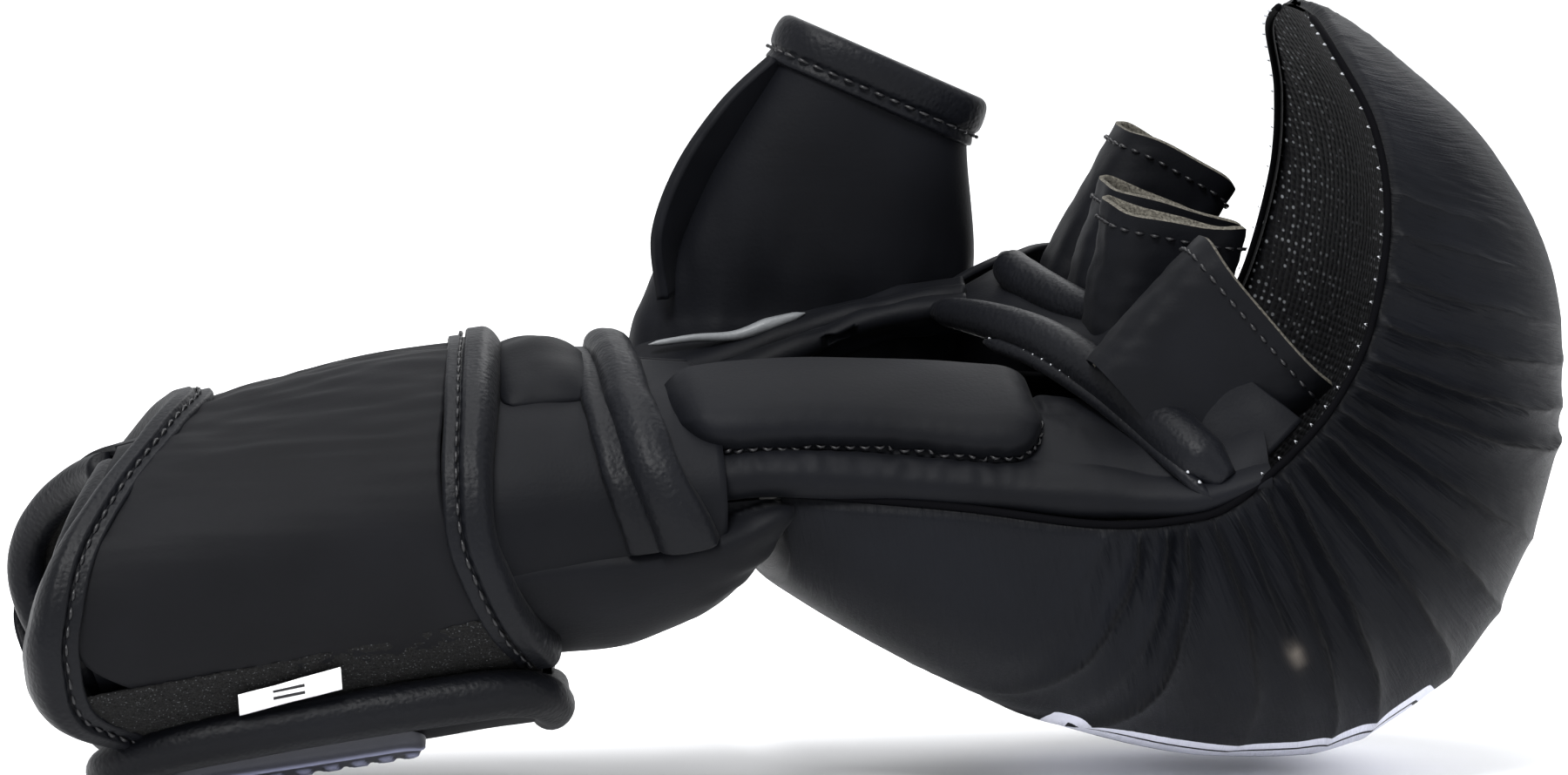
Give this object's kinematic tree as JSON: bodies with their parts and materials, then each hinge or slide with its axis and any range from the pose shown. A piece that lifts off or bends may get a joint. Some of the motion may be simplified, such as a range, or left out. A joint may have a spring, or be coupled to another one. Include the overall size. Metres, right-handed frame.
{
  "type": "mma glove",
  "caption": "Left-hand padded grappling glove with a curled fist pad, open palm, finger stalls, thumb sheath and a hook-and-loop wrist strap.",
  "frame": {"origin": "on the surface that the glove lies on, under the middle of its bounding box", "axes": "+X from the wrist to the knuckles, +Y to the thumb side, +Z to the palm side; the glove lies on its back"},
  "size_m": [0.2818, 0.112, 0.1363],
  "materials": {
    "cover_leather": "soft matte black synthetic leather with fine creases",
    "binding_leather": "grained satin black leather binding",
    "foam": "closed-cell foam sheet",
    "lining_fabric": "brushed fabric lining",
    "spacer_mesh": "black spacer mesh",
    "loop_tape": "fuzzy loop tape",
    "hook_tape": "hook tape",
    "badge_rubber": "moulded rubber patch",
    "label_cloth": "white woven label"
  },
  "bodies": {
    "hand": {"back_cover": "cover_leather", "back_dense_foam": "foam", "back_lining": "lining_fabric", "back_soft_foam": "foam", "cuff_back_cover": "cover_leather", "cuff_back_foam": "foam", "cuff_back_lining": "lining_fabric", "cuff_closure_flap": "cover_leather", "cuff_end_binding": "binding_leather", "cuff_near_lining": "lining_fabric", "cuff_near_wall": "cover_leather", "cuff_palm_binding": "binding_leather", "cuff_thumb_lining": "lining_fabric", "cuff_thumb_wall": "cover_leather", "gusset_outer_panel": "cover_leather", "gusset_palm_panel": "cover_leather", "palm_near_panel": "cover_leather", "palm_thumb_panel": "cover_leather", "side_pad_cover": "cover_leather", "side_pad_foam": "foam", "size_label": "label_cloth", "strap_loop_tape": "loop_tape", "strap_near_foam": "foam", "strap_near_hand_binding": "binding_leather", "strap_near_leather": "cover_leather", "strap_near_wrist_binding": "binding_leather"},
    "knuckle_pad": {"finger_panel": "cover_leather", "knuckle_cover": "cover_leather", "knuckle_dense_foam": "foam", "knuckle_mesh_lining": "spacer_mesh", "knuckle_soft_foam": "foam", "palm_roll": "binding_leather", "web_roll": "binding_leather"},
    "little_finger": {"little_stall": "cover_leather", "little_stall_lining": "lining_fabric"},
    "ring_finger": {"ring_stall": "cover_leather", "ring_stall_lining": "lining_fabric"},
    "middle_finger": {"middle_stall": "cover_leather", "middle_stall_lining": "lining_fabric"},
    "index_finger": {"index_stall": "cover_leather", "index_stall_lining": "lining_fabric"},
    "thumb": {"thumb_edge_binding": "binding_leather", "thumb_foam": "foam", "thumb_lining": "lining_fabric", "thumb_outer_panel": "cover_leather", "thumb_palm_panel": "cover_leather"},
    "strap_palm": {"strap_palm_foam": "foam", "strap_palm_hand_binding": "binding_leather", "strap_palm_leather": "cover_leather", "strap_palm_wrist_binding": "binding_leather"},
    "strap_side": {"strap_side_foam": "foam", "strap_side_hand_binding": "binding_leather", "strap_side_leather": "cover_leather", "strap_side_wrist_binding": "binding_leather"},
    "strap_tab": {"tab_foam": "foam", "tab_hook_tape": "hook_tape", "tab_leather": "cover_leather", "tab_rolled_rim": "binding_leather", "tab_rubber_patch": "badge_rubber"}
  },
  "joints": [
    {"name": "knuckle_flex", "type": "hinge", "parent": "hand", "child": "knuckle_pad", "pos_m": [0.0705, 0, 0.053], "axis": [0, -1, 0], "range_deg": [0, 12], "stiffness_Nm_per_rad": 0.6},
    {"name": "little_stall_flex", "type": "hinge", "parent": "knuckle_pad", "child": "little_finger", "pos_m": [0.05506, -0.036, 0.08698], "axis": [0, -1, 0], "range_deg": [0, 16], "stiffness_Nm_per_rad": 0.03},
    {"name": "ring_stall_flex", "type": "hinge", "parent": "knuckle_pad", "child": "ring_finger", "pos_m": [0.0517, -0.0122, 0.08297], "axis": [0, -1, 0], "range_deg": [0, 16], "stiffness_Nm_per_rad": 0.03},
    {"name": "middle_stall_flex", "type": "hinge", "parent": "knuckle_pad", "child": "middle_finger", "pos_m": [0.05211, 0.0114, 0.0829], "axis": [0, -1, 0], "range_deg": [0, 16], "stiffness_Nm_per_rad": 0.03},
    {"name": "index_stall_flex", "type": "hinge", "parent": "knuckle_pad", "child": "index_finger", "pos_m": [0.05266, 0.0346, 0.08722], "axis": [0, -1, 0], "range_deg": [0, 16], "stiffness_Nm_per_rad": 0.03},
    {"name": "thumb_flex", "type": "hinge", "parent": "hand", "child": "thumb", "pos_m": [0.012, 0.0555, 0.0784], "axis": [-1, 0, 0], "range_deg": [-5, 20], "stiffness_Nm_per_rad": 0.15},
    {"name": "strap_palm_lift", "type": "hinge", "parent": "hand", "child": "strap_palm", "pos_m": [-0.09066, -0.02611, 0.0662], "axis": [0.9806, -0.0239, 0.1944], "range_deg": [0, 22.5]},
    {"name": "strap_side_lift", "type": "hinge", "parent": "strap_palm", "child": "strap_side", "pos_m": [-0.09063, 0.02647, 0.066], "axis": [0.9806, 0.0242, 0.1943], "range_deg": [0, 45]},
    {"name": "strap_tab_peel", "type": "hinge", "parent": "strap_side", "child": "strap_tab", "pos_m": [-0.08294, 0.03149, 0.02101], "axis": [0.9841, 0.0297, 0.1751], "range_deg": [0, 75]}
  ],
  "couplings": [
    {"joint": "strap_side_lift", "follows": "strap_tab_peel", "ratio": 0.6},
    {"joint": "strap_palm_lift", "follows": "strap_tab_peel", "ratio": 0.3}
  ]
}
